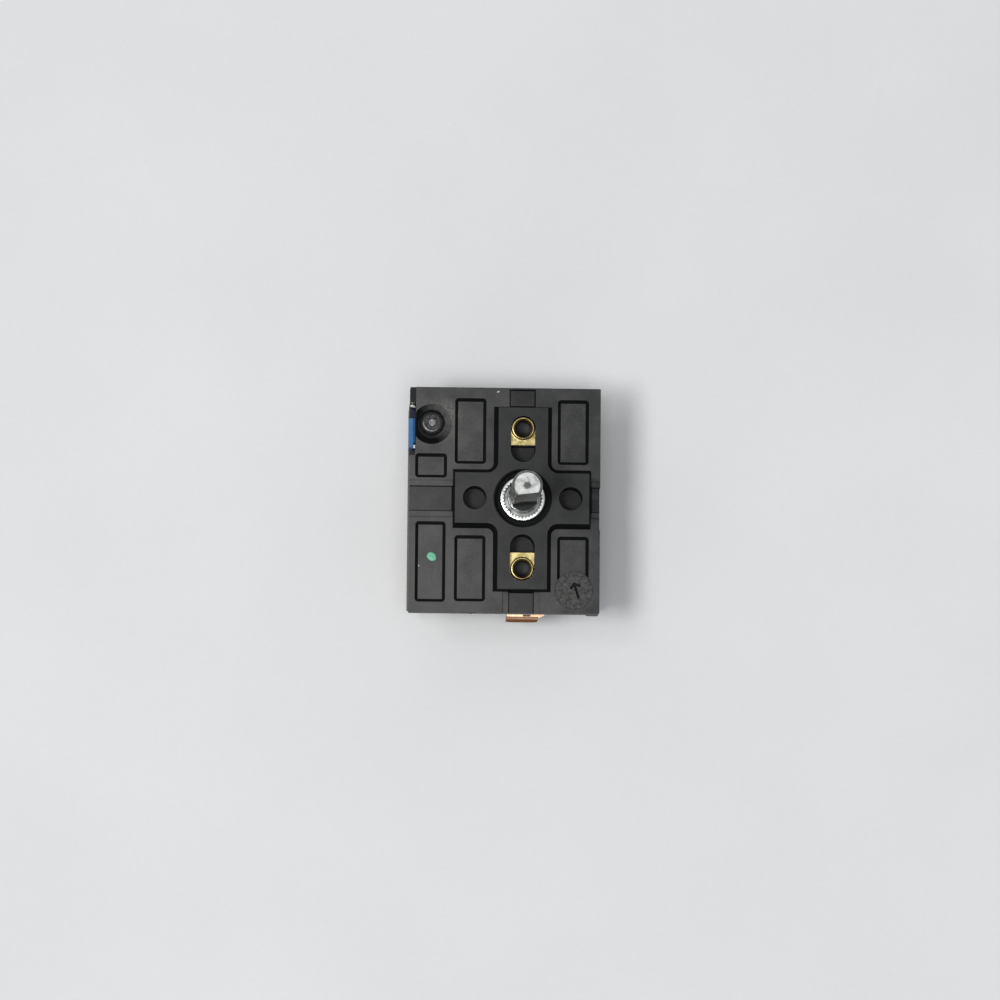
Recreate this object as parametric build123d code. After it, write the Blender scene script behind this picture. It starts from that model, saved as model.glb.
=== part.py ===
from build123d import *
import math
import os

# Infinite (energy regulating) switch for a cooker hob.
# Frame: origin on the shaft axis in the mounting face, +Z out along the shaft, +Y along the
# row of mounting screws. Behind the mounting face z is negative. All sizes are in millimetres.

# ---------------------------------------------------------------- housing
body_left = 22.5          # shaft axis to each side of the front
body_right = 15.5
body_top = 22.3
body_bottom = 22.7
body_depth = 26.5         # mounting face to the back
front_depth = 11.0        # mounting face to the seam between the housings
rim_depth = 3.0           # full-size rim behind the front
setback = 2.1             # top and bottom walls stand in from the rim
wall = 1.7
front_wall = 3.2
rear_wall = 2.0
corner_radius = 0.25

# ---------------------------------------------------------------- front relief
plateau_height = 2.2
plateau_draft = 21.4      # degrees, long sides
plateau_end_draft = 10.0  # degrees, ends of the arms
arm_foot = 5.78           # half width of the upright arms at their foot
level_foot = 5.9          # and of the level arms
arm_reach_left = 13.86
arm_reach_right = 13.6
arm_reach_y = 18.5
arm_corner = 1.3
pocket_depth = 0.8
pocket_draft = 38.0
pocket_corner = 0.7
pockets = {               # left, right, bottom and top of each pocket's mouth
    "upper_middle": (-13.55, -7.3, 7.0, 20.15),
    "upper_right": (6.95, 13.15, 7.0, 20.0),
    "small_left": (-21.4, -15.05, 4.15, 9.0),
    "lower_left": (-21.25, -15.2, -20.65, -4.6),
    "lower_middle": (-13.45, -7.25, -20.5, -7.3),
    "lower_right": (7.0, 13.3, -16.3, -7.35),
}
channel_width = 5.2
channel_depth = 0.5
channel_draft = 25.0
channel_step_draft = 65.0
channel_shift = -0.1      # of the upright channels, in x
channel_lip = 0.3         # the top channel stops this far inside the edge
channel_step_width = 7.6
channel_step_depth = 0.12
side_step = 0.2           # the right side stands in by this much beside the shaft
side_step_y = (-6.0, 2.4)
side_hole_spacing = 19.1
side_hole_radius = 2.35
side_hole_depth = 5.6
side_hole_wall = 0.5      # of the blind boss behind each side hole
notch_depth = 1.17        # cut in the left side, from the top corner down
notch_bottom = 8.6
notch_wall = 1.2          # wall behind the notch
ledge_bottom_y = 19.3     # ledge that closes the notch at the corner
ledge_z = (-8.6, -2.9)
corner_post_width = 2.4
corner_post_depth = 9.0
wheel_x = 10.39           # mould date wheel
wheel_y = -18.1
wheel_radius = 3.85
wheel_arrow_turn = 18.0   # degrees, from +Y
wheel_arrow_depth = 1.0
wheel_arrow_shift = 0.5   # its middle from the wheel's, in x
wheel_arrow_length = 3.3
wheel_arrow_span = 2.1    # across its head
wheel_arrow_stroke = 0.48
wheel_line = 0.2          # width of its rim line and ticks
wheel_line_depth = 0.12
wheel_ticks = 12

# ---------------------------------------------------------------- mounting nuts
nut_spacing = 28.0
nut_width = 4.8
nut_thread_radius = 1.65
nut_collar_radius = 2.35
nut_collar_height = 1.15
nut_plate = 1.0
nut_tongue = 3.3          # plate end, from the thread axis towards the shaft
nut_sink = 0.15           # collar top below the mounting face
nut_slot_inner = 7.2      # near end of the slot, from the shaft axis
nut_slot_deep = 5.6
nut_slot_wall = 0.5      # around the blind boss behind each slot
nut_rim_round = 0.3       # around the collar, at its top
nut_mouth_chamfer = 0.3  # of the thread
screw_room_radius = 2.2
screw_room_depth = 8.6
nut_boss_radius = 4.2

# ---------------------------------------------------------------- shaft, sleeve and cam
shaft_radius = 3.0
shaft_length = 24.0       # in front of the mounting face
flat_length = 17.8
runout_radius = 3.0       # of the cutter that left the flat
flat_across = 4.6
flat_turn = 7.0           # degrees, of the flat from facing -Y
tip_chamfer = 0.5
push_travel = 2.5
ring_thickness = 0.8
ring_radius = 3.6
ring_groove_radius = 2.5
upper_ring_z = -2.1       # underside of the ring that the spring pushes
sleeve_radius = 4.5
sleeve_wall = 0.75
sleeve_bottom = 0.6
sleeve_top_z = -0.2
sleeve_depth = 8.4
sleeve_teeth = 36
tooth_depth = 0.22
spring_wire = 0.6
spring_turns = 4.5
shaft_hole_radius = 5.55  # clear hole in the mounting face
hole_chamfer = 0.3
neck_radius = 5.25
neck_top_z = -2.4
bearing_z = -2.8
bearing_end_z = -6.0
boss_end_z = -6.3         # of the blind bosses above the cam
bearing_ring_wall = 1.5
cam_core_radius = 6.4
track_height = 2.4
control_track_z = -9.0    # underside of each track
line_track_z = -12.2
pilot_track_z = -15.4
control_low = 7.4
control_rise = 0.8
line_high = 8.3
line_fall = 0.6
pilot_low = 7.6
pilot_rise = 0.5
turn_range = 330.0        # degrees
track_lead = 12.0         # degrees of track past each end of the range
cam_bottom_z = -16.2
journal_radius = 4.0
journal_end_z = -19.5
round_bore_z = -11.6      # below it the bore is D-shaped
shaft_round_z = -8.9      # below it the shaft is D-shaped

# ---------------------------------------------------------------- clearances
running = 0.05            # radial, shafts and journals
loose = 0.1               # around blades and screws
cam_gap = 0.04            # cam track to each follower's nose
seat = 0.05               # faces that are pushed together

# ---------------------------------------------------------------- terminals and contacts
blade = 0.8
tab_width = 6.3
tab_length = 8.5
tab_hole_radius = 0.85
tab_hole_from_tip = 4.2
tab_chamfer = 1.1
blade_top_z = -8.0
line_1_x = -18.3          # middle of each blade's thickness
line_1_y = 0.0
heater_1_x = -20.1
heater_1_y = -14.05
line_2_x = 10.0
line_2_y = 14.55
heater_2_y = -11.05
line_rivet_y = -10.5
nose_half = 2.6           # half length of the bend that makes a spring's nose
snap_half = 2.2           # half width of the snap spring
leaf = 0.3
rivet_head_radius = 1.3
rivet_shank_radius = 0.65
fixed_head = 0.5
moving_head = 0.6
rivet_tail = 0.2
contact_gap_left = 0.06   # gap left between contacts at the end of their travel

# ---------------------------------------------------------------- control lever and bimetal
pivot_x = -14.0
pivot_y = 13.2
pin_radius = 1.0
eye_radius = 1.9
lever_strip = 1.0
lever_x = -10.4           # middle of the strip beside the cam
lever_z = (-13.4, -9.4)
nose_radius = 0.8
lever_bends_y = (8.0, -3.0, -5.2)
foot_x = -13.0
foot_end_y = -6.4
bimetal_thickness = 0.75
bimetal_top_y = -5.9
bimetal_end_y = -17.0
bimetal_z = (-13.2, -8.0)
stud_y = -15.5
stud_radius = 0.8
heater_y = (-14.3, -8.3)
heater_z = (-12.7, -8.5)
heater_plate_thickness = 0.8
heater_wire = 0.25
heater_turns = 8

# ---------------------------------------------------------------- fulcrum block and calibration
calibration_inset = 4.42   # screw axis from the left side
calibration_y = 15.33
countersink_shift = -0.12  # of the countersink from the screw, in x
countersink_y = 14.85
countersink_radius = 4.0
countersink_depth = 1.7
seal_radius = 2.5
calibration_radius = 1.5
calibration_tip_radius = 0.75
calibration_tip_proud = 0.15
calibration_dimple_radius = 0.35
seal_crown = 0.9          # round of its top edge
seal_rise = 0.35          # of its top above the countersink's floor
seal_lip = 0.8            # of the seal over the screw's shoulder
block_right = -12.0
block_y = (10.0, 16.9)
block_z = (-15.0, -7.2)
nose_y = (10.5, 16.3)
nose_z = (-10.9, -5.2)
nose_link_z = -9.4        # top of the link between the nose and the block
nose_stand_out = 0.2
nose_lip_y = 11.4         # near end of the lip that reaches over the clip
clip_thickness = 0.45
clip_z = (-9.2, -5.9)
clip_low_y = 10.4
clip_high_y = 18.9

# ---------------------------------------------------------------- housing screws
post_radius = 2.5
post_places = ((-8.0, 15.3), (10.9, -16.2))
screw_radius = 1.45
screw_head_radius = 2.7
screw_head = 1.9
screw_end_z = -6.4

# ---------------------------------------------------------------- pilot terminal
pilot_x = (-2.55, 4.9)
pilot_y = -23.1           # outer face of its leg
pilot_leg = 9.4
pilot_shift_y = -17.5
pilot_ear_x = (-8.3, -4.3)
pilot_rivet_x = -6.3
pilot_spring_drop = 2.9   # spring's leaf from the nose that rides on the cam
pilot_corner_y = (0.2, 0.65)  # slant of the strip beside the leg, from its outer face
pilot_relief_x = (0.65, 2.15)
pilot_relief_y = (0.5, 1.6)  # from the leg's outer face

# ---------------------------------------------------------------- derived places
face_z = -plateau_height
inner_z = face_z - front_wall
seam_z = -front_depth
rear_z = -body_depth
rear_inner_z = rear_z + rear_wall
tab_end_z = rear_z - tab_length
calibration_x = -body_left + calibration_inset
countersink_x = calibration_x + countersink_shift
seal_top_z = -plateau_height - countersink_depth + seal_rise
block_x = (-body_left + notch_depth + notch_wall + loose, block_right)
skirt_top = body_top - setback
skirt_bottom = body_bottom - setback
flat_offset = flat_across - shaft_radius
contact_z = 0.5 * (line_track_z + line_track_z + track_height)
pilot_z = pilot_track_z + 0.5 * track_height
control_nose_x = -control_low - cam_gap
line_nose_x = line_high + cam_gap
pilot_nose_y = -pilot_low - cam_gap


def slab(xs, ys, zs):
    """Box between two x, two y and two z values."""
    size = Box(xs[1] - xs[0], ys[1] - ys[0], zs[1] - zs[0])
    return Pos((xs[0] + xs[1]) / 2, (ys[0] + ys[1]) / 2, (zs[0] + zs[1]) / 2) * size


def peg(x, y, zs, radius):
    """Round post along Z between two z values."""
    return Pos(x, y, (zs[0] + zs[1]) / 2) * Cylinder(radius, zs[1] - zs[0])


def rounded_slab(xs, ys, zs, radius):
    """Box with its upright edges rounded."""
    body = slab(xs, ys, zs)
    return fillet(body.edges().filter_by(Axis.Z), radius)


def strip(points, radii, thickness, zs):
    """Bent strip on edge: a path in XY with rounded bends, raised between two z values."""
    path = FilletPolyline(*points, radius=radii)
    return extrude(Pos(0, 0, zs[0]) * trace(path, line_width=thickness), amount=zs[1] - zs[0])


def tapered(sketch, z, amount, draft):
    """Sketch raised (or sunk) from a z level with drafted sides."""
    return extrude(Pos(0, 0, z) * sketch, amount=amount, taper=draft)


def rect_sketch(xs, ys, radius=0):
    """Rectangle between two x and two y values, with rounded corners."""
    centre = Pos((xs[0] + xs[1]) / 2, (ys[0] + ys[1]) / 2)
    if radius:
        return centre * RectangleRounded(xs[1] - xs[0], ys[1] - ys[0], radius)
    return centre * Rectangle(xs[1] - xs[0], ys[1] - ys[0])


def slot_sketch(y_near, y_far, width):
    """Round-ended slot along Y, between its two ends."""
    length = y_far - y_near
    return Pos(0, (y_near + y_far) / 2) * Rot(0, 0, 90) * SlotOverall(length, width)


# ================================================================ housings
def plateau():
    """Raised cross that meets the mounting panel."""
    upright = Rectangle(2 * arm_foot, 2 * arm_reach_y + 4)
    level = Rectangle(arm_reach_left + arm_reach_right + 4, 2 * level_foot)
    cross = upright + Pos((arm_reach_right - arm_reach_left) / 2, 0) * level
    inner = [v for v in cross.vertices() if max(abs(v.X), abs(v.Y)) < level_foot + 0.1]
    cross = fillet(inner, arm_corner)
    ends = rect_sketch((-arm_reach_left, arm_reach_right), (-arm_reach_y, arm_reach_y))
    body = tapered(cross, face_z, plateau_height, plateau_draft)
    return body & tapered(ends, face_z, plateau_height, plateau_end_draft)


def channels(width, depth, draft, edges):
    """Shallow ways from the plateau's ends to some edges of the front, in line with its arms."""
    across = (-width / 2, width / 2)
    upright = (across[0] + channel_shift, across[1] + channel_shift)
    places = {
        "top": (upright, (arm_reach_y, body_top - channel_lip)),
        "bottom": (upright, (-body_bottom - 1, -arm_reach_y)),
        "left": ((-body_left - 1, -arm_reach_left), across),
        "right": ((arm_reach_right, body_right + 1), across),
    }
    ways = [tapered(rect_sketch(*places[edge]), face_z, -depth, draft) for edge in edges]
    return Compound(children=ways)


def wheel_marks():
    """Arrow, ticks and rim line of the mould date wheel, as they are sunk in its end."""
    arrow = Rectangle(wheel_arrow_stroke, wheel_arrow_length)
    tip = wheel_arrow_length / 2
    for side in (1, -1):
        barb = Line((0, tip - wheel_arrow_stroke / 2), (side * wheel_arrow_span / 2,
                                                       tip - wheel_arrow_span / 2))
        arrow += trace(barb, line_width=wheel_arrow_stroke)
    turned = Pos(wheel_x + wheel_arrow_shift, wheel_y, face_z) * Rot(0, 0, wheel_arrow_turn)
    marks = extrude(turned * arrow, amount=-wheel_arrow_depth)
    lines = Circle(wheel_radius) - Circle(wheel_radius - wheel_line)
    for place in PolarLocations(wheel_radius - 0.75, wheel_ticks):
        lines += place * Rectangle(0.8, wheel_line)
    return marks + extrude(Pos(wheel_x, wheel_y, face_z) * lines, amount=-wheel_line_depth)


def nut_slot(side):
    """Slot for one mounting nut, on the +Y (1) or -Y (-1) side, with room for the screw behind."""
    reach = nut_spacing / 2
    width = nut_width + loose
    seat_z = -nut_sink - nut_collar_height - nut_plate
    whole = slot_sketch(nut_slot_inner, reach + width / 2, width)
    room = extrude(Pos(0, 0, seat_z) * whole, amount=-seat_z)
    deep = slot_sketch(nut_slot_inner, reach - nut_tongue + width / 2, width)
    deep = deep - Pos(0, reach - nut_tongue + width / 2) * Rectangle(2 * width, width)
    room += extrude(Pos(0, 0, -nut_slot_deep) * deep, amount=nut_slot_deep)
    room += peg(0, reach, (-screw_room_depth, 0), screw_room_radius)
    return room if side > 0 else Rot(0, 0, 180) * room


def front_housing():
    """Moulded front: cross plateau, pockets, nut slots and the front half of the walls."""
    full = (-body_left, body_right)
    body = rounded_slab(full, (-body_bottom, body_top), (face_z - rim_depth, face_z), corner_radius)
    body += rounded_slab(full, (-skirt_bottom, skirt_top), (seam_z, face_z), corner_radius)
    post_zs = (face_z - corner_post_depth + rim_depth, face_z)
    body += rounded_slab((body_right - corner_post_width, body_right),
                         (-body_bottom, -skirt_bottom + wall), post_zs, corner_radius)
    body -= slab((-body_left + wall, body_right - wall),
                 (-skirt_bottom + wall, skirt_top - wall), (seam_z, inner_z))
    # bosses inside
    for side in (1, -1):
        body += peg(0, side * nut_spacing / 2, (-screw_room_depth - 0.9, inner_z), nut_boss_radius)
    for x, y in post_places:
        body += peg(x, y, (seam_z, inner_z), post_radius)
    body += peg(0, 0, (bearing_end_z, inner_z), neck_radius + running + bearing_ring_wall)
    for side in (1, -1):
        body += peg(side * side_hole_spacing / 2, 0, (boss_end_z, inner_z),
                    side_hole_radius + side_hole_wall)
        ends = sorted((side * (nut_slot_inner - nut_slot_wall), side * nut_spacing / 2))
        grow = nut_width / 2 + nut_slot_wall
        body += slab((-grow, grow), ends, (boss_end_z, inner_z))
    boss = peg(calibration_x, calibration_y, (block_z[1] + seat, inner_z), countersink_radius)
    body += boss & slab((-body_left + notch_depth, body_right), (-body_bottom, skirt_top - wall),
                        (seam_z, inner_z))
    # front relief
    for left, right, bottom, top in pockets.values():
        mouth = rect_sketch((left, right), (bottom, top), pocket_corner)
        body -= tapered(mouth, face_z, -pocket_depth, pocket_draft)
    body += peg(wheel_x, wheel_y, (face_z - pocket_depth, face_z), wheel_radius)
    body -= wheel_marks()
    body -= channels(channel_width, channel_depth, channel_draft,
                     ("top", "bottom", "left", "right"))
    body -= channels(channel_step_width, channel_step_depth, channel_step_draft,
                     ("bottom", "left", "right"))
    body -= slab((body_right - side_step, body_right + 1), side_step_y, (face_z - rim_depth, face_z))
    body += plateau()
    # holes
    body -= peg(0, 0, (bearing_z, 0), shaft_hole_radius)
    body -= Pos(0, 0, -hole_chamfer / 2) * Cone(shaft_hole_radius, shaft_hole_radius + hole_chamfer,
                                                hole_chamfer)
    body -= peg(0, 0, (bearing_end_z, 0), neck_radius + running)
    for side in (1, -1):
        body -= nut_slot(side)
        body -= peg(side * side_hole_spacing / 2, 0, (-side_hole_depth, 0), side_hole_radius)
    for x, y in post_places:
        body -= peg(x, y, (seam_z, screw_end_z + 0.4), screw_radius + running)
    mouth = Cone(seal_radius + 2 * loose, countersink_radius, countersink_depth)
    body -= Pos(countersink_x, countersink_y, face_z - countersink_depth / 2) * mouth
    body -= peg(calibration_x, calibration_y, (seam_z, face_z), seal_radius + running)
    return notched(body)


def notched(body):
    """The notch in the left side, with the wall and the ledge behind it and a way for the link."""
    inner = -body_left + notch_depth
    behind = slab((inner, inner + notch_wall), (notch_bottom - notch_wall, skirt_top - wall),
                  (seam_z, inner_z))
    behind -= peg(calibration_x, calibration_y, (seam_z, face_z), seal_radius + running)
    body += behind
    body -= slab((-body_left - 1, inner), (notch_bottom, body_top + 1), (seam_z, face_z))
    body += slab((-body_left, inner + notch_wall), (ledge_bottom_y, body_top), ledge_z)
    return body - slab((inner - 1, inner + notch_wall + 1), (nose_y[0] - loose, nose_y[1] + loose),
                       (seam_z, nose_link_z + loose))


def blade_slot(x, y, zs, grow):
    """Box around a blade that stands along Z with its width along Y."""
    half = blade / 2 + grow
    return slab((x - half, x + half), (y - tab_width / 2 - grow, y + tab_width / 2 + grow), zs)


def rear_housing():
    """Moulded tub that closes the back and holds the terminals, the cam's journal and the screws."""
    full = (-body_left, body_right)
    body = rounded_slab(full, (-skirt_bottom, skirt_top), (rear_z, seam_z), corner_radius)
    body = chamfer(body.faces().sort_by(Axis.Z)[0].edges(), corner_radius / 2)
    body -= slab((-body_left + wall, body_right - wall),
                 (-skirt_bottom + wall, skirt_top - wall), (rear_inner_z, seam_z))
    body += peg(0, 0, (rear_inner_z, cam_bottom_z - seat), journal_radius + running + 2.0)
    body -= peg(0, 0, (rear_inner_z, seam_z), journal_radius + running)
    for x, y in post_places:
        body += peg(x, y, (rear_inner_z, seam_z), post_radius)
    body += slab((-body_left + wall, block_x[0] + 4.1), (nose_y[0], nose_y[1]),
                 (rear_inner_z, block_z[0]))
    for x, y in blade_places():
        body += blade_slot(x, y, (rear_z - 0.8, rear_z), 1.0)
        body += blade_slot(x, y, (rear_inner_z, rear_inner_z + 3.0), 1.0) & slab(
            (-body_left + wall, body_right - wall), (-skirt_bottom, skirt_top), (rear_z, seam_z))
    for x, y in blade_places():
        body -= blade_slot(x, y, (rear_z - 1, seam_z), loose)
    for x, y in post_places:
        body -= peg(x, y, (rear_z, seam_z), screw_radius + loose)
        body -= peg(x, y, (rear_z, rear_z + screw_head), screw_head_radius + loose)
    body -= slab((pilot_x[0] - loose, pilot_x[1] + loose), (-skirt_bottom - 1, -skirt_bottom + wall),
                 (seam_z - blade - running, seam_z))
    return body


# ================================================================ fasteners
def mount_nuts():
    """Two brass plates, each with a drawn collar threaded for a mounting screw."""
    reach = nut_spacing / 2
    seat_z = -nut_sink - nut_collar_height - nut_plate
    outline = Pos(0, reach) * Circle(nut_width / 2)
    outline += rect_sketch((-nut_width / 2, nut_width / 2), (reach - nut_tongue + running, reach))
    nut = extrude(Pos(0, 0, seat_z) * outline, amount=nut_plate)
    nut += peg(0, reach, (seat_z, -nut_sink), nut_collar_radius)
    nut = fillet(nut.edges().sort_by(Axis.Z)[-1], nut_rim_round)
    nut -= peg(0, reach, (seat_z - 1, 0), nut_thread_radius)
    mouth = Cone(nut_thread_radius, nut_thread_radius + nut_mouth_chamfer, nut_mouth_chamfer)
    nut -= Pos(0, reach, -nut_sink - nut_mouth_chamfer / 2) * mouth
    return [nut, Rot(0, 0, 180) * nut]


def housing_screws():
    """Screws from the back that hold the two housings together."""
    screws = []
    for x, y in post_places:
        head_zs = (rear_z + 0.05, rear_z + screw_head)
        screw = peg(x, y, head_zs, screw_head_radius)
        screw = fillet(screw.faces().sort_by(Axis.Z)[0].edges(), 0.5)
        screw += peg(x, y, (rear_z + screw_head, screw_end_z), screw_radius)
        screw -= Pos(x, y, rear_z + 0.5) * Box(2 * screw_head_radius, 0.8, 1.0)
        screws.append(screw)
    return screws


def retaining_ring(underside):
    """Open ring that snaps into a groove of the shaft."""
    outline = Circle(ring_radius) - Circle(ring_groove_radius + running / 2)
    outline -= Pos(ring_radius, 0) * Rectangle(2 * ring_radius, 1.8)
    return extrude(Pos(0, 0, underside) * Rot(0, 0, 120) * outline, amount=ring_thickness)


def retaining_rings():
    """One ring under the spring's push, one behind the cam."""
    return [retaining_ring(upper_ring_z), retaining_ring(journal_end_z - seat - ring_thickness)]


# ================================================================ shaft and cam
def shaft():
    """Steel shaft with a flat at both ends and two ring grooves."""
    lower_ring_z = journal_end_z - seat - ring_thickness
    end_z = lower_ring_z - 0.7
    rod = peg(0, 0, (end_z, shaft_length), shaft_radius)
    rod = chamfer(rod.faces().sort_by(Axis.Z)[-1].edges(), tip_chamfer)
    rod = chamfer(rod.faces().sort_by(Axis.Z)[0].edges(), tip_chamfer / 2)
    for underside in (upper_ring_z, lower_ring_z):
        groove = Circle(shaft_radius + 1) - Circle(ring_groove_radius)
        rod -= extrude(Pos(0, 0, underside - running / 2) * groove, amount=ring_thickness + running)
    beyond = -flat_offset - 10
    cut = slab((-10, 10), (beyond, -flat_offset), (shaft_length - flat_length, shaft_length + 1))
    cut += slab((-10, 10), (beyond, -flat_offset), (end_z - 1, shaft_round_z))
    runout = Rot(0, 90, 0) * Cylinder(runout_radius, 20)
    cut += Pos(0, -flat_offset - runout_radius, shaft_length - flat_length) * runout
    return rod - Rot(0, 0, flat_turn) * cut


def shaft_sleeve():
    """Drawn steel cup in the cam's neck: a serrated rim in front, the spring inside."""
    bottom_z = sleeve_top_z - sleeve_depth
    cup = peg(0, 0, (bottom_z, sleeve_top_z), sleeve_radius)
    cup = fillet(cup.faces().sort_by(Axis.Z)[-1].edges(), 0.25)
    cup -= peg(0, 0, (bottom_z + sleeve_bottom, 0), sleeve_radius - sleeve_wall)
    cup -= peg(0, 0, (bottom_z - 1, 0), shaft_radius + 2 * running)
    tooth = Box(2 * tooth_depth, 0.3, 1.0)
    inner = sleeve_radius - sleeve_wall
    for place in PolarLocations(inner, sleeve_teeth):
        cup -= Pos(0, 0, sleeve_top_z) * place * tooth
    return cup


def return_spring():
    """Wire coil that pushes the shaft out."""
    low = sleeve_top_z - sleeve_depth + sleeve_bottom + spring_wire / 2
    high = upper_ring_z - spring_wire / 2
    radius = sleeve_radius - sleeve_wall - spring_wire / 2 - running
    path = Pos(0, 0, low) * Helix((high - low) / spring_turns, high - low, radius)
    section = Plane(origin=path @ 0, z_dir=path % 0) * Circle(spring_wire / 2)
    return sweep(section, path=path)


def track(start_radius, change, contact_angle, underside):
    """Cam track whose radius changes evenly over the turn, as its follower meets it clockwise."""
    def rim(turn):
        radius = start_radius + change * turn / turn_range
        angle = math.radians(contact_angle + turn)
        return (radius * math.cos(angle), radius * math.sin(angle))
    sweep_angle = turn_range + 2 * track_lead
    steps = 24
    points = [rim(-track_lead + sweep_angle * i / steps) for i in range(steps + 1)]
    outline = Spline(*points) + Line(points[-1], points[0])
    return extrude(Pos(0, 0, underside) * make_face(outline), amount=track_height)


def cam_disc():
    """Moulded cam: neck, three tracks and a journal, bored for the sleeve and the shaft."""
    cam = peg(0, 0, (bearing_end_z - seat, neck_top_z), neck_radius)
    cam += peg(0, 0, (cam_bottom_z, bearing_end_z - seat), cam_core_radius)
    cam += peg(0, 0, (journal_end_z, cam_bottom_z), journal_radius)
    cam += track(control_low, control_rise, 180, control_track_z)
    cam += track(line_high, -line_fall, 0, line_track_z)
    cam += track(pilot_low, pilot_rise, 270, pilot_track_z)
    sleeve_floor = sleeve_top_z - sleeve_depth
    cam -= peg(0, 0, (sleeve_floor, 0), sleeve_radius)
    cam -= peg(0, 0, (round_bore_z, 0), shaft_radius + running)
    bore = Circle(shaft_radius + running)
    bore -= Pos(0, -flat_offset - running - 10) * Rectangle(20, 20)
    cam -= extrude(Pos(0, 0, journal_end_z - 1) * Rot(0, 0, flat_turn) * bore,
                   amount=round_bore_z - journal_end_z + 2)
    return cam


# ================================================================ terminals and fixed contacts
def contact_rivet(head, grip):
    """Rivet along +Z: head behind z=0 facing -Z, shank through the grip, small tail past it."""
    body = Pos(0, 0, -head / 2) * Cylinder(rivet_head_radius, head)
    body = fillet(body.faces().sort_by(Axis.Z)[0].edges(), 0.2)
    body += Pos(0, 0, (grip + rivet_tail) / 2) * Cylinder(rivet_shank_radius, grip + rivet_tail)
    tail = Cylinder(rivet_shank_radius + 0.2, rivet_tail)
    return body + Pos(0, 0, grip + rivet_tail / 2) * tail


def rivet_hole(grip):
    """Hole for a rivet's shank, longer than the grip at both ends."""
    return Cylinder(rivet_shank_radius, 4 * grip + 2)


def rivet_places():
    """Fixed rivets: place of each head's seat, with +Z into the metal that holds it."""
    return {
        "heater_1": Pos(heater_1_x + blade / 2, snap_rivet_y(), contact_z) * Rot(0, -90, 0),
        "heater_2": Pos(heater_2_x() + blade / 2, line_rivet_y, contact_z) * Rot(0, -90, 0),
        "pilot": Pos(pilot_rivet_x, pilot_ear_y(), pilot_z) * Rot(90, 0, 0),
    }


def fixed_contacts():
    """Fixed contact rivets."""
    return [place * contact_rivet(fixed_head, blade) for place in rivet_places().values()]


def tab_blade(x, y, top_z):
    """Flat terminal: quick-connect tab behind the housing and a blade inside it."""
    outline = rect_sketch((tab_end_z, top_z), (y - tab_width / 2, y + tab_width / 2))
    tip = [v for v in outline.vertices() if v.X < tab_end_z + 0.1]
    outline = chamfer(tip, tab_chamfer)
    outline -= Pos(tab_end_z + tab_hole_from_tip, y) * Circle(tab_hole_radius)
    upright = Plane(origin=(x - blade / 2, 0, 0), x_dir=(0, 0, 1), z_dir=(-1, 0, 0))
    return upright.offset(-blade) * extrude(outline, amount=blade)


def snap_rivet_y():
    return heater_1_y + 0.5


def line_pivot():
    """Where the line contact's spring leaves its blade."""
    return (line_2_x + blade / 2, line_2_y - tab_width / 2)


def line_travel():
    """Angle of the line contact over the cam's turn, and its travel at the rivet."""
    angle = line_fall / line_pivot()[1]
    return angle, angle * (line_pivot()[1] - line_rivet_y)


def heater_2_x():
    """Middle of the blade that the line contact closes on."""
    face = line_pivot()[0] - moving_head - line_travel()[1] - contact_gap_left
    return face - fixed_head - blade / 2


def pilot_pivot():
    """Bend at the root of the pilot spring, on the left face of the second heater blade."""
    return (heater_2_x() - blade / 2 - leaf / 2, pilot_spring_y())


def pilot_spring_y():
    return pilot_nose_y - pilot_spring_drop


def pilot_travel():
    """Angle of the pilot contact over the cam's turn, and its travel at the rivet."""
    angle = pilot_rise / pilot_pivot()[0]
    return angle, angle * (pilot_pivot()[0] - pilot_rivet_x)


def pilot_ear_y():
    """Inner face of the ear that carries the pilot's fixed rivet."""
    face = pilot_spring_y() - leaf / 2 - moving_head - pilot_travel()[1] - contact_gap_left
    return face - fixed_head


def blade_places():
    return ((line_1_x, line_1_y), (heater_1_x, heater_1_y), (line_2_x, line_2_y),
            (heater_2_x(), heater_2_y))


def line_1_terminal():
    return tab_blade(line_1_x, line_1_y, blade_top_z)


def heater_1_terminal():
    hole = rivet_places()["heater_1"] * rivet_hole(blade)
    return tab_blade(heater_1_x, heater_1_y, blade_top_z) - hole


def line_2_terminal():
    return tab_blade(line_2_x, line_2_y, blade_top_z)


def heater_2_terminal():
    hole = rivet_places()["heater_2"] * rivet_hole(blade)
    return tab_blade(heater_2_x(), heater_2_y, blade_top_z) - hole


def pilot_terminal():
    """Copper strip: a leg outside, a tongue through the seam and an ear inside."""
    top = seam_z
    left, right = pilot_x
    leg_right = left + tab_width
    bend_y = pilot_y + blade
    tongue = Polyline((left, bend_y), (leg_right, bend_y), (leg_right, pilot_y + pilot_corner_y[0]),
                      (right, pilot_y + pilot_corner_y[1]),
                      (right, pilot_shift_y + 3.2), (left, pilot_shift_y + 3.2),
                      (left, pilot_ear_y()), (pilot_ear_x[0], pilot_ear_y()),
                      (pilot_ear_x[0], pilot_shift_y), (left, pilot_shift_y), close=True)
    strip_body = extrude(Pos(0, 0, top - blade) * make_face(tongue), amount=blade)
    leg = slab((left, leg_right), (pilot_y, bend_y), (top - pilot_leg, top))
    leg = chamfer(leg.edges().filter_by(Axis.Y).group_by(Axis.Z)[0], tab_chamfer)
    leg = fillet(leg.edges().filter_by(Axis.X).group_by(Axis.Z)[-1].sort_by(Axis.Y)[0], 0.6)
    strip_body += leg
    strip_body -= slab(pilot_relief_x, (pilot_y + pilot_relief_y[0], pilot_y + pilot_relief_y[1]),
                       (top - blade, top))
    ear_face = pilot_ear_y()
    ear = slab(pilot_ear_x, (ear_face - blade, ear_face), (pilot_track_z - 0.6, top))
    strip_body += ear
    return strip_body - rivet_places()["pilot"] * rivet_hole(blade)


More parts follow.
